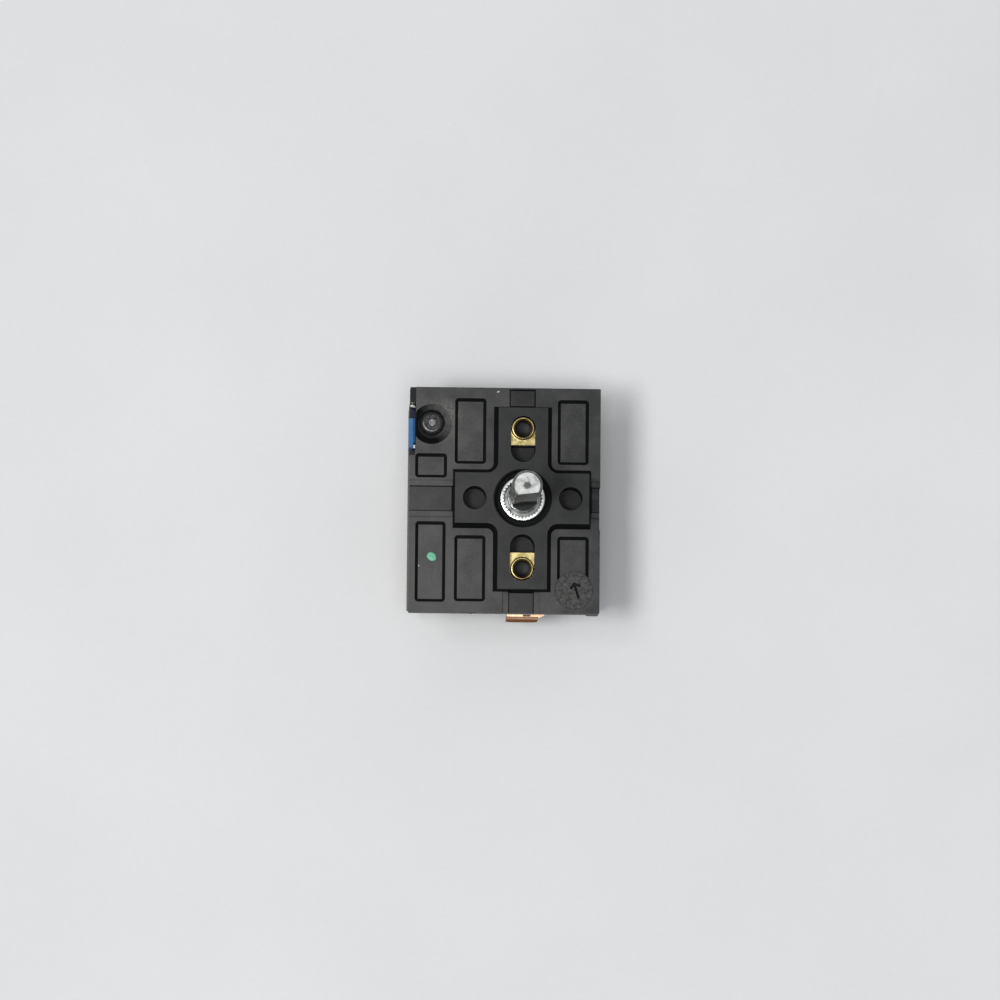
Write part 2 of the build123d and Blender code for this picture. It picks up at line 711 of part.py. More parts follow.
# ================================================================ moving contacts
def snap_face_x():
    """Left face of the snap spring, on the right face of the first line blade."""
    return line_1_x + blade / 2


def snap_spring():
    """Snap-action leaf with a sprung inner tongue."""
    x = snap_face_x()
    zs = (contact_z - snap_half, contact_z + snap_half)
    body = slab((x, x + leaf), (snap_rivet_y() - 3.2, line_1_y + 1.5), zs)
    top_y = line_1_y - tab_width / 2 - 1.2
    low_y = snap_rivet_y() + 2.2
    for side in (1, -1):
        z = contact_z + side * 1.1
        body -= slab((x - 1, x + 1), (low_y, top_y), (z - 0.2, z + 0.2))
    body -= slab((x - 1, x + 1), (low_y, low_y + 0.5), (contact_z - 1.3, contact_z + 1.3))
    hole = Pos(x, snap_rivet_y(), contact_z) * Rot(0, 90, 0) * rivet_hole(leaf)
    return body - hole


def snap_rivet():
    place = Pos(snap_face_x(), snap_rivet_y(), contact_z) * Rot(0, 90, 0)
    return place * contact_rivet(moving_head, leaf)


def line_spring():
    """Leaf of the line contact, bent to a nose that follows the cam."""
    x = line_pivot()[0] + leaf / 2
    nose = line_nose_x + leaf / 2
    points = [(x, line_2_y + 1.5), (x, nose_half), (nose, 0), (x, -nose_half), (x, line_rivet_y - 1.6)]
    zs = (line_track_z + 0.2, line_track_z + track_height - 0.2)
    body = strip(points, [0.5, 0.35, 0.5], leaf, zs)
    hole = Pos(line_pivot()[0], line_rivet_y, contact_z) * Rot(0, 90, 0) * rivet_hole(leaf)
    return body - hole


def line_rivet():
    place = Pos(line_pivot()[0], line_rivet_y, contact_z) * Rot(0, 90, 0)
    return place * contact_rivet(moving_head, leaf)


def pilot_spring():
    """Leaf of the pilot contact, folded at its root and bent to a nose that follows the cam."""
    x, y = pilot_pivot()
    nose = pilot_nose_y - leaf / 2
    points = [(x, y + 2.3), (x, y), (nose_half, y), (0, nose), (-nose_half, y),
              (pilot_rivet_x - 1.6, y)]
    zs = (pilot_track_z + 0.2, pilot_track_z + track_height - 0.2)
    body = strip(points, [0.4, 0.5, 0.35, 0.5], leaf, zs)
    hole = Pos(pilot_rivet_x, y, pilot_z) * Rot(90, 0, 0) * rivet_hole(leaf)
    return body - hole


def pilot_rivet():
    place = Pos(pilot_rivet_x, pilot_spring_y() - leaf / 2, pilot_z) * Rot(-90, 0, 0)
    return place * contact_rivet(moving_head, leaf)


# ================================================================ control lever and bimetal
def control_lever():
    """Stamped lever: eye on the pivot pin, nose on the cam, foot that carries the bimetal."""
    path = [(pivot_x, pivot_y), (lever_x, lever_bends_y[0]), (lever_x, lever_bends_y[1]),
            (foot_x, lever_bends_y[2]), (foot_x, foot_end_y)]
    body = strip(path, [1.5, 0.7, 0.55], lever_strip, lever_z)
    body += peg(pivot_x, pivot_y, lever_z, eye_radius)
    nose_zs = (control_track_z + 0.2, control_track_z + track_height - 0.2)
    body += slab((lever_x - lever_strip / 2, lever_x + lever_strip / 2), (-2.6, 2.6),
                 (lever_z[0], nose_zs[1]))
    centre = control_nose_x - nose_radius
    body += slab((lever_x, centre), (-nose_radius, nose_radius), nose_zs)
    body += peg(centre, 0, nose_zs, nose_radius)
    return body - peg(pivot_x, pivot_y, (seam_z - 5, seam_z + 5), pin_radius + running)


def bimetal_face_x():
    """Right face of the bimetal strip, on the foot of the lever."""
    return foot_x - lever_strip / 2


def bimetal_strip():
    """Flat two-layer strip that bends away from the snap spring as it warms."""
    x = bimetal_face_x()
    body = slab((x - bimetal_thickness, x), (bimetal_end_y, bimetal_top_y), bimetal_z)
    return fillet(body.edges().filter_by(Axis.X).group_by(Axis.Y)[0], 1.0)


def lever_travel():
    """Angle of the lever over the cam's turn."""
    return control_rise / pivot_y


def push_stud():
    """Ceramic stud between the bimetal and the snap spring."""
    left = snap_face_x() + leaf + lever_travel() * (pivot_y - stud_y) + contact_gap_left
    right = bimetal_face_x() - bimetal_thickness
    z = (bimetal_z[0] + bimetal_z[1]) / 2
    stud = Pos((left + right) / 2, stud_y, z) * Rot(0, 90, 0) * Cylinder(stud_radius, right - left)
    return fillet(stud.faces().sort_by(Axis.X)[0].edges(), 0.3)


def heater_plate_x():
    """Left and right faces of the heater's plate, clear of the bimetal by its wire."""
    left = bimetal_face_x() + heater_wire + seat
    return (left, left + heater_plate_thickness)


def heater_plate():
    """Ceramic plate that the heater is wound on."""
    return slab(heater_plate_x(), heater_y, heater_z)


def heater_winding():
    """Resistance wire in square turns round the plate, joined in one length."""
    left, right = heater_plate_x()
    pitch = (heater_y[1] - heater_y[0]) / heater_turns
    outer_x = (left - heater_wire, right + heater_wire)
    outer_z = (heater_z[0] - heater_wire, heater_z[1] + heater_wire)
    wire = None
    for i in range(heater_turns):
        y = heater_y[0] + (i + 0.5) * pitch
        ys = (y - heater_wire / 2, y + heater_wire / 2)
        turn = slab(outer_x, ys, outer_z) - slab((left, right), ys, heater_z)
        if wire is None:
            wire = turn
            continue
        link = slab((right - 0.4, right), (y - pitch, y), (heater_z[1], outer_z[1]))
        wire += turn + link
    return wire


def heater_clip():
    """Steel clip that holds the heater against the bimetal."""
    left = bimetal_face_x() - bimetal_thickness
    right = heater_plate_x()[1] + heater_wire
    middle = (heater_y[0] + heater_y[1]) / 2
    ys = (middle - 1.2, middle + 1.2)
    outer = slab((left - leaf, right + leaf), ys, (bimetal_z[0] - leaf, bimetal_z[1] - 0.6))
    return outer - slab((left, right), ys, (bimetal_z[0], bimetal_z[1]))


# ================================================================ fulcrum and calibration
def fulcrum_block():
    """Moulded block that holds the lever's pivot pin; its nose fills the notch in the side."""
    body = slab(block_x, block_y, block_z)
    nose_right = clip_x() - clip_thickness / 2 - seat
    body += slab((-body_left - nose_stand_out, nose_right), nose_y, nose_z)
    body += slab((nose_right, block_x[0]), nose_y, (nose_z[0], nose_link_z))
    body += slab((nose_right, -body_left + notch_depth - loose), (nose_lip_y, nose_y[1]),
                 (clip_z[1] + loose, nose_z[1]))
    body -= slab((pivot_x - eye_radius - 0.1, block_x[1] + 1), (block_y[0] - 1, block_y[1] + 1),
                 (lever_z[0] - 0.2, lever_z[1] + 0.2))
    body -= peg(pivot_x, pivot_y, (block_z[0] - 1, block_z[1] + 1), pin_radius)
    hole = peg(calibration_x, calibration_y, (block_z[0] + 1.0, block_z[1] + 1),
               calibration_radius + running)
    return body - hole


def pivot_pin():
    pin = peg(pivot_x, pivot_y, (block_z[0] + 0.2, block_z[1] - 0.2), pin_radius)
    return chamfer(pin.edges().filter_by(GeomType.CIRCLE), 0.2)


def calibration_screw():
    """Set screw with a hollow tip; it was set and sealed at the works."""
    top = seal_top_z + calibration_tip_proud
    shoulder = seal_top_z - seal_lip - seat
    stem = peg(calibration_x, calibration_y, (block_z[0] + 1.2, shoulder), calibration_radius)
    stem = chamfer(stem.faces().sort_by(Axis.Z)[0].edges(), 0.6)
    stem += peg(calibration_x, calibration_y, (shoulder, top), calibration_tip_radius)
    stem = fillet(stem.faces().sort_by(Axis.Z)[-1].edges(), 0.12)
    return stem - peg(calibration_x, calibration_y, (top - 0.4, top), calibration_dimple_radius)


def calibration_seal():
    """Lacquered bush round the set screw, dished towards it."""
    low = block_z[1] + seat
    body = peg(calibration_x, calibration_y, (low, seal_top_z), seal_radius)
    body = fillet(body.faces().sort_by(Axis.Z)[-1].edges(), seal_crown)
    body -= peg(calibration_x, calibration_y, (low, seal_top_z - seal_lip),
                calibration_radius + running)
    return body - peg(calibration_x, calibration_y, (low, seal_top_z),
                      calibration_tip_radius + running)


def clip_x():
    """Middle of the clip's long leg, against the wall behind the notch."""
    return -body_left + notch_depth - seat - clip_thickness / 2


def block_clip():
    """Blued steel clip in the notch, between the block's nose and the wall."""
    points = [(-body_left + 0.1, clip_high_y), (clip_x(), clip_high_y), (clip_x(), clip_low_y)]
    return strip(points, [0.5], clip_thickness, clip_z)


# ================================================================ output
parts = {
    "front_housing": front_housing,
    "rear_housing": rear_housing,
    "mount_nuts": mount_nuts,
    "housing_screws": housing_screws,
    "line_1_terminal": line_1_terminal,
    "line_2_terminal": line_2_terminal,
    "heater_1_terminal": heater_1_terminal,
    "heater_2_terminal": heater_2_terminal,
    "pilot_terminal": pilot_terminal,
    "fixed_contacts": fixed_contacts,
    "fulcrum_block": fulcrum_block,
    "block_clip": block_clip,
    "pivot_pin": pivot_pin,
    "calibration_screw": calibration_screw,
    "calibration_seal": calibration_seal,
    "cam_disc": cam_disc,
    "shaft_sleeve": shaft_sleeve,
    "return_spring": return_spring,
    "shaft": shaft,
    "retaining_rings": retaining_rings,
    "control_lever": control_lever,
    "bimetal_strip": bimetal_strip,
    "heater_plate": heater_plate,
    "heater_winding": heater_winding,
    "heater_clip": heater_clip,
    "push_stud": push_stud,
    "snap_spring": snap_spring,
    "snap_rivet": snap_rivet,
    "line_spring": line_spring,
    "line_rivet": line_rivet,
    "pilot_spring": pilot_spring,
    "pilot_rivet": pilot_rivet,
}

os.makedirs("parts", exist_ok=True)
for name, make in parts.items():
    shape = make()
    if isinstance(shape, list):
        shape = Compound(children=shape)
    export_step(shape, f"parts/{name}.step")
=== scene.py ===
"""Looks, light and camera for the infinite switch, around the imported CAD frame."""
import math
import random

import bpy
from mathutils import Euler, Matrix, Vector

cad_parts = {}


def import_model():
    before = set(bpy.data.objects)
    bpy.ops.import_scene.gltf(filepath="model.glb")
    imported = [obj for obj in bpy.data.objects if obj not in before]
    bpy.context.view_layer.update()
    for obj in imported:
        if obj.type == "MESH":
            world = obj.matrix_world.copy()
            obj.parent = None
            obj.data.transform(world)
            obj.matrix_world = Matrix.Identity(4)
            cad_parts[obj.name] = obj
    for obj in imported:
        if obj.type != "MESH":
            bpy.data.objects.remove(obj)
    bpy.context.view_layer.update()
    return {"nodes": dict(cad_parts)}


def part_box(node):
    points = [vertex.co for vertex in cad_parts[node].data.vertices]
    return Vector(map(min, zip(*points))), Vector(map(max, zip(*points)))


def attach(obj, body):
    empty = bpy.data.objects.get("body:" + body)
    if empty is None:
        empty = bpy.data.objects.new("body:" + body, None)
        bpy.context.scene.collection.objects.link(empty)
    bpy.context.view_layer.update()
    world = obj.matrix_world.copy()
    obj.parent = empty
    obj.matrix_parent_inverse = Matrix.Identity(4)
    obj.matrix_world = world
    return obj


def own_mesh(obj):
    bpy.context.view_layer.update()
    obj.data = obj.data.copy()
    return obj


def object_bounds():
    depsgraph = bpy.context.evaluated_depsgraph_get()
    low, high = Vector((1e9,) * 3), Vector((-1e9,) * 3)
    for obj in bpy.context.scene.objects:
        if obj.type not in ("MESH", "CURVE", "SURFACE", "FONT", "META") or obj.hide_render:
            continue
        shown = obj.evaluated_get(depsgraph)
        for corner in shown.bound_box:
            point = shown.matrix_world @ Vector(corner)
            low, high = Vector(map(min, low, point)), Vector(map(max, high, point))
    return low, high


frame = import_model()

MM = 0.001                # the frame is in metres, and the sizes below are in mm
nodes_of = frame["nodes"]


# ---------------------------------------------------------------- places on the switch, in mm
FACE = -2.2               # level of the front's face, under the raised cross
POCKET_FLOOR = -3.0
CROSS_FROM = -0.35        # what stands higher belongs to the raised cross
CHANNEL = (-2.85, -2.55)  # the channels' floors lie between these levels
SLOT = (-8.2, -3.5)       # the nut slots' floors lie between these levels
PIT_FROM = -8.4           # what lies deeper is a floor behind a nut
PATCHES_TO = -3.2            # darker patches lie no deeper
HOLLOW_SHADE_LEVELS = (-9.2, FACE - 0.3)       # painted shade in a hollow darkens what lies between these levels
WALL_TOP = FACE - 1.15    # outer walls are plain thermoset under this level
WALLS_FROM = 20.0         # outer walls stand farther from the shaft in x or y than this
RIGHT_NEARER = 5.0        # but the right one stands this much nearer
CONE = (-18.2, 14.85)     # countersink's axis
WHEEL = (10.39, -18.1, 3.85)    # mould date wheel: x, y and radius
WHEEL_TO = -4.1           # its post shows no deeper
PITS = [(0.31, 14.98), (0.31, -13.25)]  # grey spots on the floors behind the nuts
NUT_Y = 14.0              # mounting nuts' thread axis, at this y and at -y
BORE = 1.65               # radius of their threads
COLLAR_FROM = -1.15       # what stands higher is a nut's collar
TIP_FROM = 23.4           # shaft's chamfered tip, and the face at its end
END_FROM = 23.8
RIM_FROM = -0.41          # bright rim of the sleeve; below it the sleeve is painted dark as shade

# colours of the moulding
TOP_LOW = (0.015, 0.016, 0.016)
TOP_HIGH = (0.068, 0.069, 0.067)
WALL_DARK = (0.006, 0.0065, 0.007)
DUST = (0.14, 0.14, 0.13)
CONE_LIT_SIDE = (0.115, 0.117, 0.112)
PIT_GREY = (0.06, 0.06, 0.06)
WHEEL_LOW = (0.006, 0.0065, 0.0065)
WHEEL_HIGH = (0.100, 0.101, 0.096)


# ---------------------------------------------------------------- material helpers
class Paint:
    """One material's node tree, with short calls for the nodes used here."""

    def __init__(self, name, roughness, metallic=0.0):
        self.material = bpy.data.materials.new(name)
        self.material.use_nodes = True
        self.nodes = self.material.node_tree.nodes
        self.links = self.material.node_tree.links
        self.shader = self.nodes["Principled BSDF"]
        self.shader.inputs["Roughness"].default_value = roughness
        self.shader.inputs["Metallic"].default_value = metallic
        coordinates = self.nodes.new("ShaderNodeTexCoord")
        self.place = coordinates.outputs["Object"]
        self.own_normal = coordinates.outputs["Normal"]

    def join(self, source, target):
        if hasattr(source, "is_output"):
            self.links.new(source, target)
        elif hasattr(target.default_value, "__len__") and len(target.default_value) == 4:
            target.default_value = (*source, 1.0)
        else:
            target.default_value = source

    # numbers
    def math(self, operation, a, b=0.0, clamp=False):
        node = self.nodes.new("ShaderNodeMath")
        node.operation = operation
        node.use_clamp = clamp
        self.join(a, node.inputs[0])
        self.join(b, node.inputs[1])
        return node.outputs[0]

    def plus(self, a, b, clamp=False):
        return self.math("ADD", a, b, clamp)

    def minus(self, a, b):
        return self.math("SUBTRACT", a, b)

    def times(self, a, b):
        return self.math("MULTIPLY", a, b)

    def most(self, a, b):
        return self.math("MAXIMUM", a, b)

    def size(self, a):
        return self.math("ABSOLUTE", a)

    def steps(self, value, low, high, to_low=0.0, to_high=1.0):
        """value taken from low..high to to_low..to_high, and held beyond."""
        node = self.nodes.new("ShaderNodeMapRange")
        self.join(value, node.inputs["Value"])
        for name, number in (("From Min", low), ("From Max", high),
                             ("To Min", to_low), ("To Max", to_high)):
            node.inputs[name].default_value = number
        return node.outputs[0]

    # places
    def axis(self, letter, vector=None):
        """One coordinate of a point, in metres."""
        node = self.nodes.new("ShaderNodeSeparateXYZ")
        self.join(vector or self.place, node.inputs[0])
        return node.outputs[letter]

    def over(self, letter, level_mm, soft_mm=0.1, strength=1.0):
        """strength where a coordinate is above a level and 0 below it, with a soft edge."""
        return self.steps(self.axis(letter), (level_mm - soft_mm) * MM,
                          (level_mm + soft_mm) * MM, 0.0, strength)

    def under(self, letter, level_mm, soft_mm=0.1, strength=1.0):
        """strength where a coordinate is below a level and 0 above it, with a soft edge."""
        return self.steps(self.axis(letter), (level_mm - soft_mm) * MM,
                          (level_mm + soft_mm) * MM, strength, 0.0)

    def distance(self, x_mm, y_mm, mirrored=False):
        """Distance in mm from an upright line, or from its twin at -y too."""
        dx = self.minus(self.axis("X"), x_mm * MM)
        y = self.size(self.axis("Y")) if mirrored else self.axis("Y")
        dy = self.minus(y, y_mm * MM)
        squares = self.plus(self.times(dx, dx), self.times(dy, dy))
        return self.math("DIVIDE", self.math("SQRT", squares), MM)

    def spot(self, x_mm, y_mm, inner, outer, strength=1.0):
        """strength up to inner mm from an upright line, and 0 from outer mm on."""
        return self.steps(self.distance(x_mm, y_mm), inner, outer, strength, 0.0)

    def walls(self, steep, level):
        """1 where the normal's Z is smaller than steep, 0 where it is larger than level."""
        geometry = self.nodes.new("ShaderNodeNewGeometry")
        lean = self.axis("Z", geometry.outputs["Normal"])
        return self.steps(self.size(lean), steep, level, 1.0, 0.0)

    # patterns
    def stretched(self, scale):
        node = self.nodes.new("ShaderNodeMapping")
        self.join(self.place, node.inputs["Vector"])
        node.inputs["Scale"].default_value = scale
        return node.outputs[0]

    def noise(self, size_mm, detail=3.0, roughness=0.55, stretch=None, distortion=0.0):
        """Noise whose blobs are about size_mm across."""
        node = self.nodes.new("ShaderNodeTexNoise")
        self.join(self.stretched(stretch) if stretch else self.place, node.inputs["Vector"])
        node.inputs["Scale"].default_value = 1.0 / (size_mm * MM)
        node.inputs["Detail"].default_value = detail
        node.inputs["Roughness"].default_value = roughness
        node.inputs["Distortion"].default_value = distortion
        return node.outputs["Fac"]

    def cloud(self, size_mm, detail=3.0, roughness=0.55, spread=0.20, **more):
        """Noise drawn out to 0..1: the smaller the spread, the harder its edges."""
        return self.steps(self.noise(size_mm, detail, roughness, **more),
                          0.5 - spread, 0.5 + spread)

    def mix(self, amount, a, b):
        """Colour a where amount is 0, b where it is 1."""
        node = self.nodes.new("ShaderNodeMix")
        node.data_type = "RGBA"
        self.join(amount, node.inputs[0])
        self.join(a, node.inputs[6])
        self.join(b, node.inputs[7])
        return node.outputs[2]

    # what the shader takes
    def colour(self, value):
        self.join(value, self.shader.inputs["Base Color"])

    def rough(self, value):
        self.join(value, self.shader.inputs["Roughness"])

    def specular(self, value):
        self.join(value, self.shader.inputs["Specular IOR Level"])

    def edge_tint(self, value):
        self.join(value, self.shader.inputs["Specular Tint"])

    def bump(self, height, depth_mm, strength=1.0):
        node = self.nodes.new("ShaderNodeBump")
        node.inputs["Strength"].default_value = strength
        node.inputs["Distance"].default_value = depth_mm * MM
        self.join(height, node.inputs["Height"])
        self.links.new(node.outputs[0], self.shader.inputs["Normal"])

    def turned_grain(self, amount):
        """Highlights drawn across the marks that turning leaves round the Z axis."""
        tangent = self.nodes.new("ShaderNodeTangent")
        tangent.direction_type = "RADIAL"
        tangent.axis = "Z"
        self.links.new(tangent.outputs[0], self.shader.inputs["Tangent"])
        self.shader.inputs["Anisotropic"].default_value = amount


def dress(material, *names):
    """The CAD nodes take this material."""
    for name in names:
        mesh = nodes_of[name].data
        mesh.materials.clear()
        mesh.materials.append(material)


# ---------------------------------------------------------------- materials
def moulding(name, worn_spots=(), dark_spots=(), shaded_hollows=()):
    """Black thermoset: matt top faces with dust and scratches, smoother walls painted darker as
    shade.

    A worn or dark spot is x, y, full radius and outer radius in mm, and its strength. A shaded
    hollow is x, y, radius and strength: what lies below the face inside it is painted dark as
    shade.
    """
    p = Paint(name, 0.6)

    # mottled top faces, painted lighter towards the lower left as the fall of light, with streaks,
    # scratches and dust
    cloud = p.cloud(5.0, 4.0, spread=0.18)
    grain = p.cloud(0.22, 2.0)
    across = p.plus(p.times(p.axis("X"), 1.4), p.times(p.axis("Y"), 0.6))
    painted_light_slope = p.steps(across, -36 * MM, 32 * MM, 0.45, -0.42)
    mottle = p.plus(p.times(cloud, 0.55), p.times(grain, 0.35))
    top = p.mix(p.plus(mottle, painted_light_slope, clamp=True), TOP_LOW, TOP_HIGH)
    streak = p.steps(p.noise(1.1, 6.0, 0.7, stretch=(1.0, 0.22, 1.0)), 0.58, 0.80, 0.0, 0.24)
    scratch = p.steps(p.noise(0.5, 3.0, 0.6, stretch=(0.10, 1.3, 1.0), distortion=0.4),
                      0.70, 0.80, 0.0, 0.22)
    worn = p.plus(streak, scratch)
    for x, y, inner, outer, strength in worn_spots:
        rub = p.steps(p.noise(0.4, 5.0, 0.75), 0.36, 0.66)
        worn = p.plus(worn, p.times(p.spot(x, y, inner, outer, strength), rub))
    top = p.mix(worn, top, DUST)

    # walls are painted dark as shade inside the face, and plain thermoset round the outside
    wall = p.walls(0.60, 0.88)
    level = p.minus(1.0, wall)
    to_sides = p.most(p.plus(p.axis("X"), RIGHT_NEARER * MM), p.times(p.axis("X"), -1.0))
    reach = p.most(p.size(p.axis("Y")), to_sides)
    outside = p.times(p.steps(reach, (WALLS_FROM - 0.1) * MM, (WALLS_FROM + 0.1) * MM),
                      p.under("Z", WALL_TOP, 0.15, 0.80))
    shade_and_patches = p.minus(wall, p.times(wall, outside))
    near_face = p.over("Z", PATCHES_TO)
    for x, y, inner, outer, strength in dark_spots:
        shade_and_patches = p.most(shade_and_patches, p.times(p.spot(x, y, inner, outer, strength), near_face))
    # painted shade darkens what lies below the face inside each hollow
    hollow_depths = p.times(p.under("Z", HOLLOW_SHADE_LEVELS[1], 0.05), p.over("Z", HOLLOW_SHADE_LEVELS[0]))
    for x, y, radius, strength in shaded_hollows:
        inside = p.spot(x, y, radius - 0.05, radius + 0.05, strength)
        shade_and_patches = p.most(shade_and_patches, p.times(inside, hollow_depths))

    # the countersink's cone is painted paler towards its upper right, as the light that falls on
    # that side
    aside = p.plus(p.times(p.minus(p.axis("X"), CONE[0] * MM), 0.90),
                   p.times(p.minus(p.axis("Y"), CONE[1] * MM), 0.52))
    cone = p.times(p.spot(*CONE, 4.3, 4.4), p.under("Z", FACE - 0.05, 0.03))
    pale = p.times(cone, p.steps(aside, -0.6 * MM, 3.2 * MM))
    pale = p.times(pale, p.steps(p.noise(0.9, 4.0, 0.65), 0.30, 0.62, 0.45, 1.0))

    # the raised cross and the channels are darker, and the slots' floors under the nuts are
    # painted dark as shade
    raised = p.over("Z", CROSS_FROM, 0.15, 0.50)
    channel = p.times(p.under("Z", CHANNEL[1], 0.05, 0.35), p.over("Z", CHANNEL[0], 0.05))
    slot = p.times(p.under("Z", SLOT[1], 0.1, 0.75), p.over("Z", SLOT[0]))
    lower = p.times(p.plus(channel, slot), level)
    top = p.mix(p.plus(raised, lower), top, WALL_DARK)

    # the floors behind the nuts are painted dark as shade, and grey in their middle
    pit = p.times(p.under("Z", PIT_FROM), level)
    middle = p.math("MINIMUM", p.distance(*PITS[0]), p.distance(*PITS[1]))
    top = p.mix(pit, top, p.mix(p.steps(middle, 0.7, 1.5), PIT_GREY, WALL_DARK))

    # the mould date wheel is blotched, and painted dark as shade where it is engraved
    wheel = p.spot(WHEEL[0], WHEEL[1], WHEEL[2] - 0.15, WHEEL[2] + 0.05, 0.75)
    marked = p.times(wheel, p.over("Z", WHEEL_TO))
    blotch = p.steps(p.noise(0.7, 5.0, 0.7, distortion=0.5), 0.36, 0.66)
    top = p.mix(marked, top, p.mix(blotch, WHEEL_LOW, WHEEL_HIGH))
    engraving_shade = p.under("Z", FACE - 0.045, 0.015, 0.8)
    top = p.mix(p.times(marked, engraving_shade), top, WALL_DARK)

    # painted shade and darker patches, and the countersink's cone painted lit on one side
    p.colour(p.mix(pale, p.mix(shade_and_patches, top, WALL_DARK), CONE_LIT_SIDE))
    matt = p.plus(p.times(marked, 0.45), p.times(p.plus(raised, lower), 0.5))
    p.specular(p.steps(p.plus(shade_and_patches, matt), 0.0, 1.0, 0.34, 0.06))
    p.rough(p.steps(p.plus(shade_and_patches, p.times(grain, 0.2)), 0.0, 1.2, 0.62, 0.40))
    p.bump(p.plus(grain, p.times(cloud, 0.6)), 0.012, 0.55)
    return p.material


def cam_plastic():
    p = Paint("cam_plastic", 0.55)
    p.specular(0.05)
    swirl = p.cloud(1.6, 4.0, distortion=0.6)
    p.colour(p.mix(swirl, (0.004, 0.0045, 0.005), (0.010, 0.011, 0.011)))
    p.rough(p.steps(swirl, 0.0, 1.0, 0.50, 0.62))
    p.bump(p.noise(0.25), 0.006, 0.5)
    return p.material


def metal(name, dark, light, roughness, spot_mm, brush=(1.0, 1.0, 1.0)):
    """Metal sheet or wire with cloudy tarnish and fine rolling lines."""
    p = Paint(name, roughness, 1.0)
    cloud = p.cloud(spot_mm, 4.0)
    lines = p.noise(0.12, 2.0, stretch=brush)
    p.colour(p.mix(cloud, dark, light))
    p.rough(p.steps(p.plus(cloud, lines), 0.5, 1.5, roughness + 0.08, roughness - 0.08))
    p.bump(lines, 0.004, 0.5)
    return p.material


def shaft_zinc():
    """Turned, zinc-plated rod: marks round its axis, a dull flat painted dark as shade, a centre
    mark in its end painted dark as the shade of its pit.
    """
    p = Paint("shaft_zinc", 0.34, 1.0)
    cloud = p.cloud(1.5, 5.0, 0.65, spread=0.16, distortion=0.8)
    end = p.mix(cloud, (0.16, 0.165, 0.16), (0.38, 0.39, 0.38))
    drawn = p.plus(p.times(p.noise(0.35, 3.0, 0.6, stretch=(1.0, 1.0, 0.06)), 0.6),
                   p.times(p.noise(2.2, 4.0), 0.4))
    side = p.mix(p.steps(drawn, 0.36, 0.64), (0.17, 0.175, 0.17), (0.36, 0.365, 0.36))
    tone = p.mix(p.over("Z", TIP_FROM), side, end)
    radius = p.distance(0.0, 0.0)
    ragged = p.plus(radius, p.times(p.noise(0.5), 0.6))
    # the centre mark is painted dark as the shade of its pit
    mark = p.steps(ragged, 0.85, 1.20, 0.90, 0.0)
    tone = p.mix(p.times(mark, p.over("Z", END_FROM)), tone, (0.04, 0.043, 0.043))
    # the flat is painted dark as shade, and is rougher
    flat = p.times(p.steps(radius, 2.80, 2.92, 1.0, 0.0), p.under("Z", TIP_FROM))
    p.colour(p.mix(p.times(flat, 0.8), tone, (0.055, 0.058, 0.055)))
    p.rough(p.steps(p.plus(cloud, flat), 0.0, 2.0, 0.40, 0.54))
    tool_pitch = 0.16 * MM
    along = p.plus(p.axis("Z"), p.times(radius, MM))
    rings = p.math("SINE", p.times(along, 2 * math.pi / tool_pitch))
    p.bump(p.plus(rings, p.times(p.noise(0.5), 3.0)), 0.006, 0.5)
    p.turned_grain(0.35)
    return p.material


def rim_steel():
    """Pressed steel of the sleeve: a bright rim, painted dark inside as shade."""
    p = Paint("rim_steel", 0.22, 1.0)
    cloud = p.cloud(0.8)
    bright = p.mix(cloud, (0.66, 0.67, 0.66), (0.86, 0.86, 0.85))
    p.colour(p.mix(p.under("Z", RIM_FROM, 0.07), bright, (0.06, 0.062, 0.062)))
    p.rough(p.steps(cloud, 0.0, 1.0, 0.28, 0.16))
    p.bump(p.noise(0.18), 0.004, 0.5)
    return p.material


def blue_plastic():
    """Blue thermoset of the fulcrum block, whose right lip is painted darker as shade."""
    p = Paint("blue_plastic", 0.42)
    flow = p.cloud(1.1, 4.0, stretch=(1.0, 0.4, 1.0))
    blue = p.mix(flow, (0.022, 0.100, 0.260), (0.055, 0.185, 0.400))
    # the right lip is painted darker as shade
    lip = p.over("X", -21.85, 0.07, 0.85)
    p.colour(p.mix(lip, blue, (0.010, 0.060, 0.200)))
    p.specular(p.steps(lip, 0.0, 1.0, 0.18, 0.05))
    p.rough(p.steps(flow, 0.0, 1.0, 0.34, 0.5))
    p.bump(p.noise(0.2), 0.006, 0.5)
    return p.material


def seal_lacquer():
    p = Paint("seal_lacquer", 0.12)
    flow = p.cloud(0.9, 4.0, distortion=0.8)
    p.colour(p.mix(flow, (0.007, 0.0075, 0.008), (0.028, 0.029, 0.030)))
    p.specular(0.40)
    p.rough(p.steps(flow, 0.0, 1.0, 0.18, 0.34))
    p.bump(p.noise(0.5, 2.0), 0.03, 0.6)
    return p.material


def blued_steel():
    """Blued strip whose two ends stay bright."""
    p = Paint("blued_steel", 0.28, 1.0)
    p.edge_tint((0.10, 0.12, 0.20))
    bloom = p.cloud(0.9)
    blue = p.mix(bloom, (0.004, 0.006, 0.020), (0.014, 0.013, 0.030))
    ends = p.plus(p.over("Y", 18.6), p.under("Y", 11.05, 0.05), clamp=True)
    p.colour(p.mix(ends, blue, (0.32, 0.32, 0.31)))
    p.rough(p.steps(bloom, 0.0, 1.0, 0.22, 0.36))
    p.bump(p.noise(0.15), 0.004, 0.5)
    return p.material


def ceramic():
    p = Paint("ceramic", 0.6)
    speck = p.steps(p.noise(0.18, 2.0), 0.35, 0.70)
    pale = p.mix(p.cloud(1.6), (0.66, 0.64, 0.58), (0.78, 0.76, 0.70))
    p.colour(p.mix(p.times(speck, 0.3), pale, (0.45, 0.43, 0.38)))
    p.bump(speck, 0.01, 0.5)
    return p.material


